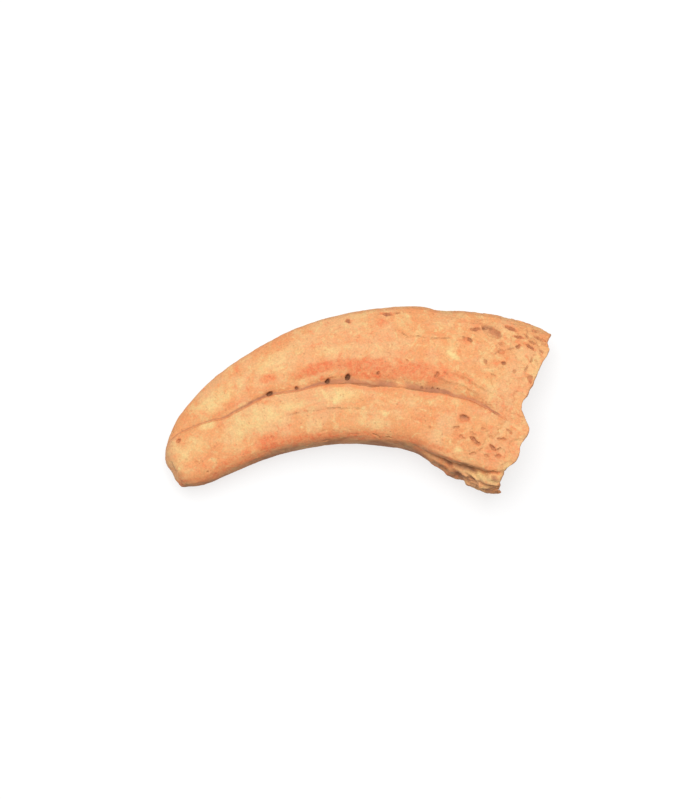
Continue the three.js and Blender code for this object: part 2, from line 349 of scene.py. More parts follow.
worked(bone, "SMOOTH", factor=0.5, iterations=RIM_SMOOTHING, vertex_group="rim")

# ------------------------------------------------------------------ the claw: holes
# The mouths of the blood vessels that fed the claw's horn sheath: round holes along the groove,
# which go in at a slant, on both sides of the bone.

# On the upper side: place, length, width, turn in degrees, depth.
VESSEL_HOLES = [
    (-3.2, 7.6, 2.0, 1.7, 70, 3.2), (-9.9, 6.1, 1.8, 1.4, 35, 2.5), (-29.2, 1.9, 2.4, 1.3, 25, 2.0),
    (-20.2, 3.8, 1.3, 1.0, 20, 1.4),
]
# On the lower side.
HIDDEN_HOLES = [
    (-41.5, -4.4, 1.9, 1.2, 35, 2.4), (-24.6, 2.4, 2.2, 1.5, 20, 3.4), (-13.0, 5.9, 1.3, 1.0, 10, 1.8),
    (1.8, 6.6, 2.3, 1.8, 70, 4.0), (11.5, 7.9, 1.5, 0.9, -20, 1.6), (24.0, 5.6, 2.4, 1.1, -50, 1.6),
]
HOLE_SLANT = 24           # degrees from upright
CUTTER_GRAIN = 0.2 * MM   # fineness of the holes' walls
HOLE_RAGGED = 0.2 * MM    # how uneven the walls are
HOLE_LUMPS = 0.9 * MM     # over what distance they are uneven
FINE_GRAIN = 0.27 * MM    # fineness of the finished bone


def hole_cutter(hole, down):
    """A slanting, rounded plug at a hole's place on the bone, from above or from below."""
    x, y, length, width, turn, depth = hole
    start = Vector((x * MM, y * MM, cad_high.z * 2 if down else -cad_high.z))
    hit = bone.ray_cast(start, Vector((0, 0, -1 if down else 1)))[1]
    bpy.ops.mesh.primitive_ico_sphere_add(subdivisions=3, radius=1.0)
    plug = bpy.context.active_object
    size = Matrix.Diagonal((length / 2 * MM, width / 2 * MM, depth * MM, 1))
    slant = Matrix.Rotation(math.radians(HOLE_SLANT), 4, "Y")
    spin = Matrix.Rotation(math.radians(turn), 4, "Z")
    plug.data.transform(Matrix.Translation(hit) @ spin @ slant @ size)
    return plug


plugs = [hole_cutter(hole, True) for hole in VESSEL_HOLES]
plugs += [hole_cutter(hole, False) for hole in HIDDEN_HOLES]
only(plugs[0])
for plug in plugs:
    plug.select_set(True)
bpy.ops.object.join()
cutter = bpy.context.active_object
worked(cutter, "REMESH", mode="VOXEL", voxel_size=CUTTER_GRAIN)
ragged = bpy.data.textures.new("ragged", "CLOUDS")
ragged.noise_scale = HOLE_LUMPS
worked(cutter, "DISPLACE", texture=ragged, strength=2 * HOLE_RAGGED, texture_coords="GLOBAL")
worked(bone, "BOOLEAN", object=cutter, operation="DIFFERENCE", solver="MANIFOLD")
bpy.data.objects.remove(cutter)

# ------------------------------------------------------------------ the claw: pits and surface relief
# The skin of old bone: slits and pits near the root, where the dense outer bone has flaked off
# the spongy bone, with faint lengthwise fibres, fine pores and shallow flaked patches.

# On the upper side: place, length, width, turn in degrees, depth.
BACK_PITS = [
    (9.8, 28.5, 3.0, 1.0, -4, 1.2), (13.4, 28.9, 1.5, 0.7, 5, 0.60), (-3.2, 26.1, 1.7, 1.0, -25, 0.9),
    (37.2, 19.9, 2.0, 1.0, -25, 0.9), (35.2, 20.6, 2.4, 0.5, -15, 0.4), (39.4, 23.4, 3.6, 1.0, 3, 0.9),
    (44.7, 22.7, 7.2, 3.2, -31, 0.8), (42.4, 23.9, 2.0, 0.9, -8, 1.3), (50.9, 23.7, 3.6, 1.1, -22, 1.0),
    (53.9, 20.7, 3.8, 0.8, -10, 0.9), (53.4, 17.7, 1.6, 1.0, 20, 0.9), (50.9, 16.9, 3.0, 0.5, 10, 0.45),
    (57.3, 17.5, 3.2, 0.9, -34, 1.0), (47.9, 18.3, 2.4, 1.8, -10, 0.45),
    (47.8, 15.8, 2.0, 1.6, 0, 0.55), (48.5, 12.1, 1.4, 1.2, 0, 0.9), (42.4, 12.6, 2.0, 0.9, -65, 0.6),
    (57.2, 6.7, 3.0, 1.2, -75, 0.8), (56.0, 10.4, 2.2, 0.9, 60, 0.6), (57.8, 13.2, 1.3, 0.8, 70, 0.5),
    (59.2, 13.0, 1.1, 0.7, -50, 0.5), (61.2, 15.9, 1.6, 0.7, -40, 0.6),
    (59.6, 22.8, 2.6, 0.7, -14, 0.6), (60.9, 20.2, 4.4, 0.7, -28, 0.8),
    (56.2, 21.2, 1.7, 0.6, -50, 0.7), (58.6, 18.8, 3.4, 0.6, -25, 0.7), (45.2, 8.1, 2.2, 0.5, -25, 0.4),
    (52.0, 9.4, 1.4, 0.7, 50, 0.45), (26.3, 8.1, 2.5, 1.1, 62, 0.8), (29.0, 8.8, 1.4, 0.7, -30, 0.5),
    (16.5, 13.0, 0.9, 0.5, -40, 0.5), (6.8, 8.7, 1.2, 0.9, 70, 0.9), (0.8, 10.8, 1.1, 0.6, -50, 0.5),
    (62.4, 18.2, 2.4, 0.6, -26, 0.6), (21.4, 3.9, 0.9, 0.6, 0, 0.40), (23.0, 3.6, 0.7, 0.5, 20, 0.35),
    (24.9, 3.7, 0.8, 0.6, 0, 0.45), (26.7, 3.3, 0.9, 0.6, -10, 0.45),
]
BELLY_PITS = [
    (35.3, -6.2, 3.0, 2.2, -10, 1.0), (32.6, -9.3, 2.0, 0.9, 10, 0.6),
    (38.8, -13.8, 3.8, 1.2, -40, 1.0), (34.4, -12.5, 2.0, 0.9, -30, 0.5),
    (47.7, -13.1, 3.5, 0.7, -4, 0.7), (44.7, -16.0, 2.8, 0.9, -45, 1.2),
    (42.6, -18.7, 1.9, 0.9, -30, 0.6), (46.4, -18.8, 1.9, 1.2, 0, 0.7),
    (38.1, -18.0, 1.8, 1.0, 20, 0.6), (46.7, -16.4, 1.6, 0.8, 30, 0.6), (23.9, -9.3, 0.9, 0.7, 0, 0.5),
    (6.2, -12.0, 2.6, 0.7, -30, 0.5), (10.6, -12.6, 1.6, 0.6, -20, 0.4),
    (-49.8, -24.2, 0.8, 0.7, 0, 0.5), (-28.4, -12.6, 1.1, 0.9, 10, 0.4),
    (50.2, -10.6, 2.2, 0.6, -40, 0.5), (41.6, -9.8, 1.3, 0.8, 0, 0.4),
    (-59.7, -13.8, 1.5, 1.1, 20, 0.9), (-59.4, -20.1, 1.1, 0.5, -40, 0.3),
    (-57.0, -20.0, 1.2, 0.6, 40, 0.30), (-53.6, -20.8, 1.3, 0.7, 20, 0.3),
    (38.0, -11.3, 2.0, 0.7, -20, 0.4), (44.0, -12.4, 1.5, 0.8, 10, 0.4),
    (40.6, -16.6, 1.8, 0.8, 35, 0.45),
]
# On the lower side, strewn near the root.
HIDDEN_PITS = 34
HIDDEN_PITS_FROM = (26.0, -17.0)
HIDDEN_PITS_TO = (58.0, 24.0)
HIDDEN_PIT_LENGTHS = (0.9, 3.6)
HIDDEN_PIT_SHAPES = (0.25, 0.7)  # width as a share of length
HIDDEN_PIT_TURNS = (-50, 10)
HIDDEN_PIT_DEPTHS = (0.4, 1.2)
FACING_DOWN = -0.6        # how squarely a face looks down before it can hold such a pit
# What every pit is like.
PIT_RAGGED = 0.40         # how far its edge strays from its oval
PIT_LUMPS = 0.8           # over what distance it strays
PIT_DEPTH = 1.35          # how much deeper weathering has made it
PIT_TILT = 0.36           # share of its depth by which its floor climbs on each side of its middle
PIT_WALL = 0.45           # width of its wall
PIT_WALL_MOST = 0.35      # the most of its half width that the wall takes up
PIT_RIM = 0.05            # height of its curled rim
PIT_RIM_AT = 1.6          # where the rim lies, the pit's own edge being at 1
PIT_RIM_SPREAD = 0.35     # how far the rim spreads from there
PIT_STAIN_TO = 2.4        # where the stain round it ends, on the same scale
# The fine relief of the skin: height, size, seed.
FIBRES = [(0.035, 0.7, 20)]
FIBRES_STRETCH = 9        # how many times longer than wide a fibre is
GRAINS = [(0.05, 0.8, 21)]
# Flaked patches and pores by the root, and scratches: size, seed, where each begins, where it
# is full. Then how deep each is.
FLAKES, FLAKE_DEPTH = (3.6, 22, 0.05, 0.12), 0.26
PORES, PORE_DEPTH = (0.9, 23, 0.34, 0.58), 0.22
SCRATCHES, SCRATCH_DEPTH = (1.1, 24, 0.5, 0.7), 0.12
NEAR_ROOT = (20, 52)      # where the flaking begins and where it is at its most, along the claw
OFF_BREAK = (0.55, 0.2)   # how squarely a face points at the root, from none to all of the skin
MOST_TRIANGLES = 192000


def flaked(pits, spots):
    """The depth of ragged oval pits, each with a steep wall towards the back and a floor that
    climbs away from it, how much earth their walls hold with painted shade darkest on the wall towards the
    back, and the stain round them."""
    depth = np.zeros(len(spots))
    earth_and_shade = np.zeros(len(spots))
    halo = np.zeros(len(spots))
    for x, y, length, width, turn, deep in pits:
        near = np.flatnonzero(np.hypot(spots[:, 0] - x, spots[:, 1] - y) < length + 0.5)
        level = spots[near] * (1, 1, 0)
        c, s = math.cos(math.radians(turn)), math.sin(math.radians(turn))
        dx = spots[near, 0] - x + PIT_RAGGED * uneven(level, PIT_LUMPS, 30)
        dy = spots[near, 1] - y + PIT_RAGGED * uneven(level, PIT_LUMPS, 31)
        back = (dy * c - dx * s) / (width / 2)
        away = np.hypot((dx * c + dy * s) / (length / 2), back)
        floor_share = 1 - PIT_TILT + PIT_TILT * np.clip(back, -1, 1)
        wall = min(PIT_WALL_MOST, PIT_WALL / width)
        bowl = PIT_DEPTH * deep * floor_share * ease(away, 1 + wall, 1 - wall)
        rim = PIT_RIM * ease(np.abs(away - PIT_RIM_AT), PIT_RIM_SPREAD, 0.0)
        depth[near] = np.maximum(depth[near], bowl) - rim * (depth[near] <= 0)
        # earth over the whole floor, and painted shade that darkens the wall towards the back
        darkened = min(1.0, 1.3 * deep / width) * (0.5 + 0.5 * ease(back, -0.5, 0.4))
        earth_and_shade[near] = np.maximum(earth_and_shade[near], darkened * ease(away, 1.3, 0.8))
        halo[near] = np.maximum(halo[near], min(1.0, deep) * ease(away, PIT_STAIN_TO, 1.0))
    return depth, earth_and_shade, halo


def patches_of(spots, size, seed, low, high):
    """1 where the bone's unevenness is above high, 0 where it is below low."""
    return ease(uneven(spots, size, seed), low, high)


def near_root_of(spots):
    """How strongly flaking has worked at each spot, from the middle of the claw to the root."""
    return ease(spots[:, 0], *NEAR_ROOT)


dice = random.Random(41)
hidden = []
while len(hidden) < HIDDEN_PITS:
    x = dice.uniform(HIDDEN_PITS_FROM[0], HIDDEN_PITS_TO[0])
    y = dice.uniform(HIDDEN_PITS_FROM[1], HIDDEN_PITS_TO[1])
    below = Vector((x * MM, y * MM, -cad_high.z))
    found, _, normal, _ = bone.ray_cast(below, Vector((0, 0, 1)))
    if found and normal.z < FACING_DOWN:
        length = dice.uniform(*HIDDEN_PIT_LENGTHS)
        width = length * dice.uniform(*HIDDEN_PIT_SHAPES)
        turn = dice.uniform(*HIDDEN_PIT_TURNS)
        hidden.append((x, y, length, width, turn, dice.uniform(*HIDDEN_PIT_DEPTHS)))

worked(bone, "REMESH", mode="VOXEL", voxel_size=FINE_GRAIN)
worked(bone, "SMOOTH", factor=0.5, iterations=1)
spots = spots_of(bone)
facing = facing_of(bone)
along, across = measured_from(MIDDLE_LINE, spots)
fibres = np.column_stack([along / FIBRES_STRETCH, across, spots[:, 2]])
near_root = near_root_of(spots) * ease(facing[:, 0], *OFF_BREAK)
cut = layered(fibres, FIBRES) + layered(spots, GRAINS)
cut += FLAKE_DEPTH * near_root * patches_of(spots, *FLAKES)
cut += PORE_DEPTH * near_root * patches_of(spots, *PORES)
cut += SCRATCH_DEPTH * patches_of(fibres, *SCRATCHES)
cut += (facing[:, 2] > 0) * flaked(BACK_PITS + BELLY_PITS, spots)[0]
cut += (facing[:, 2] < 0) * flaked(hidden, spots)[0]
move_to(bone, spots - facing * cut[:, None])
triangles = sum(len(face.vertices) - 2 for face in bone.data.polygons)
worked(bone, "DECIMATE", ratio=min(1.0, MOST_TRIANGLES / triangles), use_collapse_triangulate=True)
move_to(bone, spots_of(bone))
only(bone)
bpy.ops.object.shade_smooth()

# ------------------------------------------------------------------ the claw: stains, dirt and painted shade
# Where the bone's colour changes: red iron stain in the groove's channel and round the edges,
# pale worn patches on the swells, and brown earth left in every hollow. Painted shade darkens the
# faces that turn under or back, the hollow below the heel's shoulder, the pits' back walls, the
# mouths of the vessels' holes and the groove's lip, and painted light brightens the heel's rim.

# On the upper side: place, reach along, reach across, turn in degrees, strength.
RED_STAINS = [
    (-12.0, 10.9, 7.5, 2.2, 10, 1.0), (4.0, 11.2, 11.0, 3.2, 0, 0.85),
    (17.0, 10.4, 11.0, 3.6, -6, 0.80), (-4.0, 11.8, 8.0, 2.2, 4, 0.9), (2.0, 21.0, 12.0, 3.5, 4, 0.40),
    (12.0, 9.6, 12.0, 2.6, -2, 0.62), (29.0, 8.4, 9.0, 2.8, -18, 0.75),
    (-15.5, 9.2, 7.0, 1.8, 15, 0.85), (-29.8, 7.0, 3.4, 1.7, 10, 0.88),
    (-29.5, -14.4, 4.6, 3.2, 25, 1.15), (-18.0, -13.4, 12.0, 1.8, 10, 0.80),
    (-57.5, -23.7, 4.0, 4.0, 0, 0.55), (9.2, 25.7, 4.5, 2.8, 0, 0.50),
    (-24.8, 19.0, 7.0, 3.0, 32, 0.50), (44.0, -18.5, 6.0, 4.0, -20, 0.60),
    (44.5, -23.5, 5.0, 1.4, -18, 0.60), (-9.0, -12.0, 20.0, 1.5, 3, 0.80),
    (50.5, -15.5, 3.0, 6.0, 0, 0.45), (36.4, 19.6, 2.6, 1.6, -20, 0.70),
    (47.6, 17.0, 2.8, 3.0, 0, 0.45), (40.0, -2.0, 9.0, 2.4, -28, 0.50), (56.0, 8.0, 2.4, 5.0, 20, 0.40),
    (34.0, -12.0, 4.0, 3.0, 0, 0.45), (-41.0, -19.6, 9.0, 1.6, 27, 0.65),
    (6.0, 8.2, 13.0, 1.8, -2, 0.85), (22.5, 7.0, 9.0, 2.0, -13, 0.80), (-11.8, 7.2, 1.4, 1.0, -40, 0.8),
    (22.0, -14.5, 12.0, 1.4, -18, 0.60), (53.0, 5.0, 4.0, 5.0, -20, 0.45),
    (49.0, -4.0, 7.0, 3.5, -30, 0.50), (36.0, 6.0, 6.0, 2.2, -25, 0.60),
    (40.0, 26.5, 12.0, 1.8, -6, 0.35), (22.0, -6.0, 8.0, 3.0, -8, 0.35),
    (50.0, 17.5, 4.0, 2.0, 10, 0.40),
]
PALE_PATCHES = [
    (-49.8, -8.8, 3.4, 1.6, 15, 0.90), (-8.5, 16.2, 6.0, 2.0, 10, 0.70),
    (-7.1, 15.2, 2.4, 1.4, 60, 0.70), (32.0, 14.5, 4.0, 1.1, -35, 1.0),
    (-22.0, -2.2, 6.5, 2.6, 15, 0.85), (33.2, -16.8, 2.2, 1.2, 20, 0.85),
    (9.3, -4.9, 1.3, 0.8, -20, 1.0), (17.9, -4.5, 3.4, 2.2, 0, 0.60),
    (-34.0, -7.5, 18.0, 5.5, 24, 0.72), (-27.0, 13.0, 15.0, 6.0, 36, 0.66),
    (28.0, 17.0, 8.0, 3.2, -18, 0.50), (14.0, 17.2, 8.0, 2.6, 0, 0.38), (-5.0, 1.6, 9.0, 3.2, 4, 0.85),
    (-46.0, 0.5, 12.0, 4.0, 40, 0.72), (4.0, -7.5, 10.0, 2.6, -4, 0.60),
    (45.6, 9.0, 5.0, 4.0, -30, 0.40), (43.5, 5.5, 4.5, 2.0, -35, 0.55),
    (21.0, 0.0, 7.0, 2.4, -10, 0.45), (-54.0, -15.5, 8.0, 5.0, 35, 0.66),
    (38.5, -8.0, 5.0, 3.0, -20, 0.35), (-58.5, -21.0, 6.0, 5.0, 40, 0.62),
    # The two patches on the next line, on the heel's rim, are painted light that brightens the ledge.
    (41.0, -25.6, 7.5, 1.6, -20, 0.85), (43.0, -22.6, 5.0, 1.2, -18, 0.50),
    (47.0, 21.0, 4.0, 1.0, -30, 0.35),
]
# Painted shade in the hollow below the shoulder of the heel, on the upper side.
HOLLOW_SHADE_PATCHES = [(20.0, -18.4, 5.5, 1.7, -27, 1.0), (29.0, -22.2, 9.0, 1.1, -24, 0.7)]
# Stains and patches on the lower side: how many of each kind, and what they are like.
HIDDEN_STAINS = 18
STAIN_REACHES = (3, 12)
STAIN_SHAPES = (0.2, 0.5)  # reach across as a share of reach along
STAIN_STRENGTHS = (0.3, 0.9)
STAIN_STRAY = 12          # how far one is turned from the claw's bend, in degrees
BEND_AT_TIP = 25          # the turn of the claw's middle near its tip
BEND_FROM, BEND_CHANGE = -45, 0.55  # from where along the claw, and how fast, the turn lessens
UPPER = (-0.25, 0.15)     # how a face looks up, from the lower side to the upper
# How squarely a face looks forward, down the claw's hollow curve: the red fringe and the painted
# shade of the underside. The painted shade on the back is by how squarely it looks back.
FRINGE_RISE, FRINGE_FALL = (0.35, 0.60), (0.98, 0.80)
FRINGE_ENDS = (44, 30)    # where the fringe fades out by the root, along the claw
FRINGE_RED = 0.62
UNDERSIDE_SHADE_FACING = (0.76, 0.95)
BACK_FACING = (0.70, 0.98)
BACK_SHADE = 0.35         # how brown the back is, to the underside's 1
PIT_RED = 0.55            # how red the stain round a pit is
# The brown round each vessel's hole is earth with painted shade.
HOLE_EARTH_AND_SHADE_REACH = 0.85   # how far the brown round a vessel's hole reaches, as a share of its size
HOLE_EARTH_AND_SHADE = 0.5
FAR_FROM_CRACKS = 4       # what keeps the upper side's cracks off the lower side
DIRT_FROM, DIRT_FULL = 0.25, 1.5
# The earth packed in above the groove's lip, darkened further with painted shade: along the claw, how dark,
# how wide.
GROOVE_EARTH_AND_SHADE = [
    (-66, 0.40, 0.35), (-58, 0.75, 0.35), (-46, 0.80, 0.4), (-43, 1.0, 0.6), (-33, 1.2, 0.8),
    (-28, 1.1, 0.8), (-26, 0.50, 0.4), (-22, 0.75, 0.4), (-18, 1.0, 0.7), (-11, 1.1, 0.9),
    (-8, 0.65, 1.5), (-2, 0.75, 1.8), (3, 0.90, 1.9), (11, 0.85, 2.2), (12.8, 0.50, 1.6),
    (13.8, 0.10, 1.0), (15.2, 0.15, 1.6), (16.2, 0.85, 2.8), (24, 0.95, 1.9), (30, 1.10, 1.2),
    (33, 0.60, 0.9), (41, 0.60, 0.7), (42.6, 1.1, 0.5), (47, 1.0, 0.45), (48.5, 0.15, 0.4), (56, 0, 0.4),
]


def painted(patches, spots):
    """How strongly a set of soft, turned oval patches covers each spot, seen from above."""
    cover = np.zeros(len(spots))
    for x, y, reach, width, turn, strength in patches:
        c, s = math.cos(math.radians(turn)), math.sin(math.radians(turn))
        dx, dy = spots[:, 0] - x, spots[:, 1] - y
        away = np.hypot((dx * c + dy * s) / reach, (dy * c - dx * s) / width)
        cover = np.maximum(cover, strength * ease(away, 1.6, 0.2))
    return cover


def scattered(count):
    """Soft oval patches strewn over the whole lower side, lengthwise."""
    patches = []
    for _ in range(count):
        x = dice.uniform(cad_low.x, cad_high.x) / MM
        y = dice.uniform(cad_low.y, cad_high.y) / MM
        reach = dice.uniform(*STAIN_REACHES)
        turn = BEND_AT_TIP - BEND_CHANGE * (x - BEND_FROM) + dice.uniform(-STAIN_STRAY, STAIN_STRAY)
        width = reach * dice.uniform(*STAIN_SHAPES)
        patches.append((x, y, reach, width, turn, dice.uniform(*STAIN_STRENGTHS)))
    return patches


def keep(name, values):
    """Keeps a value at each of the bone's points, for its material to read."""
    layer = bone.data.attributes.new(name, "FLOAT", "POINT")
    layer.data.foreach_set("value", values.astype(np.float32))


spots = spots_of(bone)
facing = facing_of(bone)
upper = ease(facing[:, 2], *UPPER)
gaps = [blank.find_nearest(Vector(p) * MM)[3] / MM for p in spots.tolist()]
red = upper * painted(RED_STAINS, spots) + (1 - upper) * painted(scattered(HIDDEN_STAINS), spots)
pale = upper * painted(PALE_PATCHES, spots) + (1 - upper) * painted(scattered(HIDDEN_STAINS), spots)
# The pits' earth, with painted shade on their back walls, and the red stain round them.
_, earth_and_shade_above, halo_above = flaked(BACK_PITS + BELLY_PITS, spots)
_, earth_and_shade_below, halo_below = flaked(hidden, spots)
red = np.maximum(red, PIT_RED * (upper * halo_above + (1 - upper) * halo_below))
fringe = ease(-facing[:, 1], *FRINGE_RISE) * ease(-facing[:, 1], *FRINGE_FALL)
red = np.maximum(red, FRINGE_RED * fringe * ease(spots[:, 0], *FRINGE_ENDS))
# Painted shade: brown on faces that turn under, and less on faces that turn back.
painted_shade = ease(-facing[:, 1], *UNDERSIDE_SHADE_FACING) + BACK_SHADE * ease(facing[:, 1], *BACK_FACING)
# Painted shade in the hollow below the heel's shoulder.
painted_shade = np.maximum(painted_shade, upper * painted(HOLLOW_SHADE_PATCHES, spots))
# Earth and painted shade round each vessel's hole, taken in with the pits'.
hole_earth_and_shade = [
    (x, y, HOLE_EARTH_AND_SHADE_REACH * length, HOLE_EARTH_AND_SHADE_REACH * width, turn, HOLE_EARTH_AND_SHADE)
    for x, y, length, width, turn, _ in VESSEL_HOLES
]
earth_and_shade_above = np.maximum(earth_and_shade_above, painted(hole_earth_and_shade, spots))
along, across = measured_from(MIDDLE_LINE, spots)
earth_at, lip_earth_and_shade, lip_width = np.array(GROOVE_EARTH_AND_SHADE).T
lines = [BACK_CRACK, BELLY_CRACK, CHANNEL_CRACK, TIP_FACET, HEEL_RIM]
from_lines = [np.abs(measured_from(line, shaken(spots))[1]) for line in lines]
keep("red", red)
keep("pale", pale)
keep("dirt", ease(np.array(gaps), DIRT_FROM, DIRT_FULL))
keep("spongy", broken_share(spots, facing))
keep("painted_shade", painted_shade)
keep("along", along)
keep("across", across)
keep("lip", above_groove(spots) / np.interp(spots[:, 0], earth_at, lip_width))
keep("lip_earth_and_shade", np.interp(spots[:, 0], earth_at, lip_earth_and_shade) * ease(np.abs(facing[:, 2]), 0.1, 0.4))
keep("crack", np.min(from_lines, axis=0) + FAR_FROM_CRACKS * (1 - upper))
keep("pit_earth_and_shade", upper * earth_and_shade_above + (1 - upper) * earth_and_shade_below)
keep("flaked", near_root_of(spots) * patches_of(spots, *FLAKES))

# ------------------------------------------------------------------ the claw: its material
# Mineralised bone: matt, orange-tan and mottled, with yellow and brick-red stains, fine
# lengthwise fibres, dark specks and hairline cracks, and earth in its hollows, with painted shade
# on its underside, in its groove and its pits.

TAN = (0.625, 0.315, 0.138, 1)
ORANGE = (0.620, 0.260, 0.098, 1)
YELLOW = (0.640, 0.420, 0.180, 1)
BRICK = (0.640, 0.168, 0.062, 1)
CREAM = (0.660, 0.530, 0.225, 1)
# dark earth in the hollows, also the painted shade in the pits
EARTH_AND_SHADE = (0.245, 0.106, 0.052, 1)
RUST = (0.400, 0.150, 0.068, 1)
# earth and painted shade along the groove's lip
LIP_EARTH_AND_SHADE = (0.345, 0.142, 0.070, 1)
# painted shade on the underside, the back and the hollow below the heel's shoulder
UNDERSIDE_SHADE = (0.290, 0.104, 0.034, 1)
DEEP_RED = (0.615, 0.145, 0.050, 1)
ROUGH_LOW, ROUGH_HIGH = 0.68, 0.86
GLOSS = 0.35              # how much the stone gives back at its surface
RELIEF_DEPTH = 0.25 * MM  # how deep its finest relief is
FIBRE_LENGTHENED = 0.12   # a streak's scale along the claw, to 1 across it
BEND = 0.008              # how far the hairline cracks wander, in metres


class Wiring:
    """A material's nodes, added one by one and wired to what feeds them."""

    def __init__(self, material):
        material.use_nodes = True
        self.tree = material.node_tree
        self.surface = self.tree.nodes["Principled BSDF"]

    def add(self, kind, settings=None, **inputs):
        """Adds a node; an input is a plain value or the output socket that feeds it."""
        new = self.tree.nodes.new("ShaderNode" + kind)
        for name, value in (settings or {}).items():
            setattr(new, name, value)
        for name, value in inputs.items():
            self.feed(new.inputs[name.replace("_", " ")], value)
        return new

    def feed(self, socket, value):
        if isinstance(value, bpy.types.NodeSocket):
            self.tree.links.new(value, socket)
        else:
            socket.default_value = value

    def math(self, operation, *values):
        new = self.add("Math", {"operation": operation})
        for socket, value in zip(new.inputs, values):
            self.feed(socket, value)
        return new.outputs["Value"]

    def between(self, value, low, high, to_low=0.0, to_high=1.0):
        """A value brought from one range to another, smoothly and no further."""
        settings = {"interpolation_type": "SMOOTHSTEP"}
        new = self.add("MapRange", settings, Value=value, From_Min=low, From_Max=high)
        self.feed(new.inputs["To Min"], to_low)
        self.feed(new.inputs["To Max"], to_high)
        return new.outputs["Result"]

    def mixed(self, share, a, b, blend="MIX"):
        new = self.add("Mix", {"data_type": "RGBA", "blend_type": blend})
        for socket, value in zip((new.inputs["Factor"], new.inputs[6], new.inputs[7]), (share, a, b)):
            self.feed(socket, value)
        return new.outputs[2]

    def mottle(self, vector, per_metre, detail=3.0, distortion=0.0, roughness=0.55):
        new = self.add("TexNoise", None, Vector=vector, Scale=per_metre, Detail=detail)
        self.feed(new.inputs["Roughness"], roughness)
        self.feed(new.inputs["Distortion"], distortion)
        return new.outputs["Fac"]

    def kept(self, name):
        return self.add("Attribute", {"attribute_name": name}).outputs["Fac"]


stone = bpy.data.materials.new("fossil_bone")
w = Wiring(stone)
place = w.add("TexCoord").outputs["Object"]
lengthways = w.add("CombineXYZ", None)
w.feed(lengthways.inputs["X"], w.math("MULTIPLY", w.kept("along"), FIBRE_LENGTHENED * MM))
w.feed(lengthways.inputs["Y"], w.math("MULTIPLY", w.kept("across"), MM))
w.feed(lengthways.inputs["Z"], w.add("SeparateXYZ", None, Vector=place).outputs["Z"])
grain = lengthways.outputs["Vector"]

# ground colour: broad clouds of orange and yellow over tan, with finer mottling in them
clouds = w.mottle(place, 70, 6.0, 0.6, 0.62)
ground = w.mixed(w.between(clouds, 0.42, 0.58), ORANGE, TAN)
yellows = w.mottle(place, 110, 8.0, 0.4, 0.66)
ground = w.mixed(w.between(yellows, 0.50, 0.68, 0.0, 0.75), ground, YELLOW)
ground = w.mixed(w.math("MULTIPLY", w.kept("flaked"), 0.25), ground, YELLOW)
blots = w.mottle(place, 360, 8.0, 0.8, 0.70)
ground = w.mixed(w.between(blots, 0.53, 0.64, 0.0, 0.72), ground, YELLOW)
ground = w.mixed(w.between(blots, 0.45, 0.34, 0.0, 0.55), ground, BRICK)
streaks = w.mottle(grain, 420, 4.0, 0.2)
ground = w.mixed(w.between(streaks, 0.48, 0.75, 0.0, 0.30), ground, BRICK)

# stains: each patch's edge broken up by a finer mottle, and the red itself by a deeper red
stain_edge = w.math("MULTIPLY_ADD", w.mottle(place, 330, 7.0, 0.8, 0.68), 1.6, -0.8)
red_mask = w.between(w.math("ADD", w.kept("red"), stain_edge), 0.15, 0.95)
pale_mask = w.between(w.math("ADD", w.kept("pale"), stain_edge), 0.25, 1.2)
ground = w.mixed(w.math("MULTIPLY", pale_mask, 0.66), ground, CREAM)
rusts = w.mottle(place, 560, 7.0, 0.7, 0.72)
rust = w.mixed(w.between(rusts, 0.44, 0.58), w.mixed(0.5, ORANGE, BRICK), DEEP_RED)
ground = w.mixed(w.math("MULTIPLY", red_mask, 0.92), ground, rust)

# specks: tiny dark grains, and fewer pale ones
dots = w.add("TexVoronoi", None, Vector=place, Scale=760.0)
speck = w.math("MULTIPLY", w.between(dots.outputs["Distance"], 0.30, 0.12),
               w.between(w.mottle(place, 420, 3.0), 0.47, 0.62))
ground = w.mixed(w.math("MULTIPLY", speck, 0.45), ground, RUST)
flecks = w.add("TexVoronoi", None, Vector=place, Scale=280.0)
fleck = w.math("MULTIPLY", w.between(flecks.outputs["Distance"], 0.24, 0.06),
               w.between(w.mottle(place, 200, 3.0), 0.52, 0.66))
ground = w.mixed(w.math("MULTIPLY", fleck, 0.6), ground, CREAM)
fine = w.mottle(place, 1700, 3.0)
tint = w.add("CombineColor", None, Red=w.between(fine, 0.30, 0.70, 0.88, 1.08),
             Green=w.between(fine, 0.30, 0.70, 0.93, 1.05), Blue=w.between(fine, 0.30, 0.70, 0.93, 1.05))
ground = w.mixed(1.0, ground, tint.outputs["Color"], "MULTIPLY")

# hairline cracks: the edges of bent cells, showing only here and there
bent = w.add("TexNoise", None, Vector=place, Scale=160.0, Detail=4.0).outputs["Color"]
bend = w.add("VectorMath", {"operation": "MULTIPLY_ADD"})
for socket, value in zip(bend.inputs, (bent, (BEND, BEND, BEND), place)):
    w.feed(socket, value)
plates = w.add("TexVoronoi", {"feature": "DISTANCE_TO_EDGE"}, Vector=bend.outputs["Vector"], Scale=62.0)
hairline = w.math("MULTIPLY", w.between(plates.outputs["Distance"], 0.018, 0.004),
                  w.between(w.mottle(place, 75, 2.0), 0.62, 0.74))
ground = w.mixed(w.math("MULTIPLY", hairline, 0.22), ground, RUST)

# the longer cracks, dark where earth has stayed in them
ragged_edge = w.math("MULTIPLY_ADD", w.mottle(place, 900, 4.0), 0.7, -0.35)
gap = w.between(w.math("ADD", w.kept("crack"), ragged_edge), 0.34, 0.04)
crack_line = w.math("MULTIPLY", gap, w.between(w.mottle(place, 300, 3.0), 0.40, 0.60))
ground = w.mixed(w.math("MULTIPLY", crack_line, 0.34), ground, RUST)

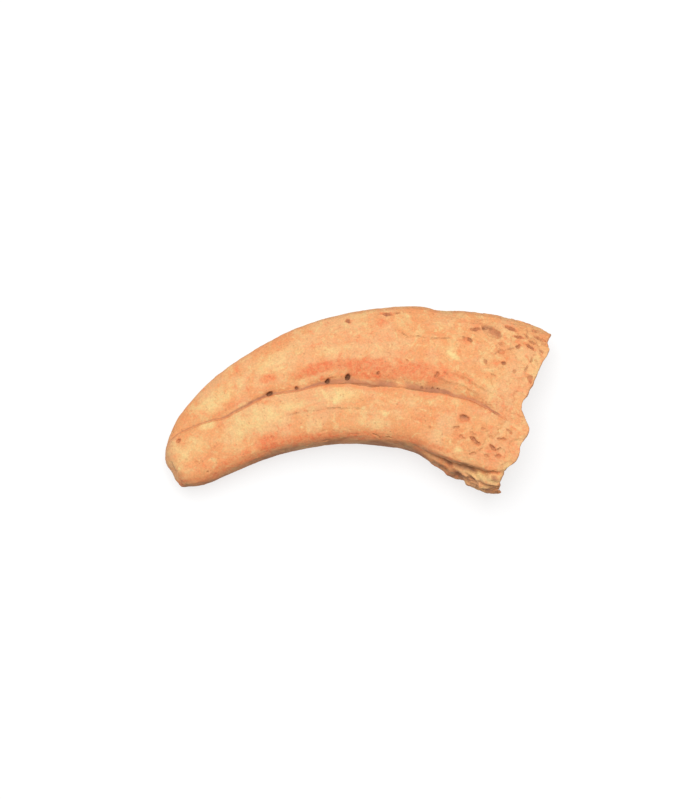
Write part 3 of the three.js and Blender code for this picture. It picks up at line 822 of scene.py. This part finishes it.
# dirt: brown earth with painted shade along the groove's lip, earth deep in the holes, earth with painted
# shade on the pits' back walls and round the vessels' holes, and a warm dust over the spongy bone; below
# the lip runs a thin bare edge
# brown earth and painted shade along the groove's lip
from_lip = w.math("ADD", w.kept("lip"), w.math("MULTIPLY", ragged_edge, 0.8))
earth_and_shade_in_groove = w.math("MULTIPLY", w.between(from_lip, 1.15, 0.25), w.between(from_lip, -0.40, 0.0))
earth_and_shade_in_groove = w.math("MULTIPLY", earth_and_shade_in_groove, w.kept("lip_earth_and_shade"))
earth_and_shade_in_groove = w.math("MULTIPLY", earth_and_shade_in_groove, w.between(w.mottle(place, 560, 5.0), 0.36, 0.58, 0.62, 1.0))
bare = w.math("MULTIPLY", w.between(from_lip, -1.2, -0.5), w.between(from_lip, -0.1, -0.4))
ground = w.mixed(w.math("MULTIPLY", w.math("MULTIPLY", bare, w.kept("lip_earth_and_shade")), 0.5), ground, BRICK)
ground = w.mixed(w.math("MULTIPLY", earth_and_shade_in_groove, 0.96), ground, LIP_EARTH_AND_SHADE)
dirt = w.kept("dirt")
ground = w.mixed(w.between(dirt, 0.02, 0.40, 0.0, 0.50), ground, RUST)
ground = w.mixed(w.between(dirt, 0.40, 1.0, 0.0, 0.85), ground, EARTH_AND_SHADE)
# earth in the pits, with painted shade on their back walls and round the vessels' holes
ground = w.mixed(w.math("MULTIPLY", w.kept("pit_earth_and_shade"), 0.50), ground, EARTH_AND_SHADE)
ground = w.mixed(w.math("MULTIPLY", w.kept("spongy"), 0.30), ground, RUST)
# painted shade: brown on the faces that turn under and back and in the hollow below the heel, broken up by
# a mottle
browns = w.between(w.mottle(place, 150, 7.0, 0.5, 0.64), 0.38, 0.60, 0.42, 0.92)
ground = w.mixed(w.math("MULTIPLY", w.kept("painted_shade"), browns), ground, UNDERSIDE_SHADE)
w.feed(w.surface.inputs["Base Color"], ground)

rough = w.between(w.mottle(place, 600, 4.0), 0.3, 0.7, ROUGH_LOW, ROUGH_HIGH)
w.feed(w.surface.inputs["Roughness"], w.math("MAXIMUM", rough, w.math("MULTIPLY", dirt, 0.95)))
w.surface.inputs["Specular IOR Level"].default_value = GLOSS

# fine relief: fibres, grain, pinholes and the cracks
heights = [
    (w.mottle(grain, 900, 4.0), 0.45), (w.mottle(place, 2200, 4.0), 0.35),
    (w.mottle(place, 420, 4.0), 0.6), (speck, -0.3), (hairline, -0.3), (crack_line, -0.8),
]
height = 0.0
for value, share in heights:
    height = w.math("MULTIPLY_ADD", value, share, height)
relief = w.add("Bump", None, Height=height, Strength=1.0, Distance=RELIEF_DEPTH)
w.feed(w.surface.inputs["Normal"], relief.outputs["Normal"])

bone.data.materials.clear()
bone.data.materials.append(stone)
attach(bone, "root")
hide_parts("claw")

# ------------------------------------------------------------------ the floor
# A white sheet lit softly from beneath, so that the claw throws almost no shadow. It is wide
# enough to fill every view.

FLOOR_WIDTH = 8.0
FLOOR_TINT = (0.22, 0.22, 0.22, 1)
FLOOR_GLOW = 0.72

bpy.ops.mesh.primitive_plane_add(size=FLOOR_WIDTH, location=(0, 0, -0.05 * MM))
floor = bpy.context.active_object
floor.name = "floor"
sheet = bpy.data.materials.new("lit_sheet")
sheet.use_nodes = True
sheet_surface = sheet.node_tree.nodes["Principled BSDF"]
sheet_surface.inputs["Base Color"].default_value = FLOOR_TINT
sheet_surface.inputs["Roughness"].default_value = 0.9
sheet_surface.inputs["Emission Color"].default_value = (1, 1, 1, 1)
sheet_surface.inputs["Emission Strength"].default_value = FLOOR_GLOW
floor.data.materials.append(sheet)

# ------------------------------------------------------------------ the light
# A broad soft box overhead, leaning a little over the claw's back, and a pale room round it.

SOFTBOX = (1.3, 1.3)
SOFTBOX_PLACE = Vector((-0.08, 0.47, 1.68))
SOFTBOX_WATTS = 41.5
ROOM_LIGHT = 0.33

bpy.ops.object.light_add(type="AREA", location=SOFTBOX_PLACE)
softbox = bpy.context.active_object
softbox.data.shape = "RECTANGLE"
softbox.data.size, softbox.data.size_y = SOFTBOX
softbox.data.energy = SOFTBOX_WATTS
softbox.rotation_euler = SOFTBOX_PLACE.to_track_quat("Z", "Y").to_euler()

room = bpy.data.worlds.new("room")
room.use_nodes = True
room.node_tree.nodes["Background"].inputs["Color"].default_value = (1, 1, 1, 1)
room.node_tree.nodes["Background"].inputs["Strength"].default_value = ROOM_LIGHT
bpy.context.scene.world = room
bpy.context.scene.view_settings.view_transform = "Standard"
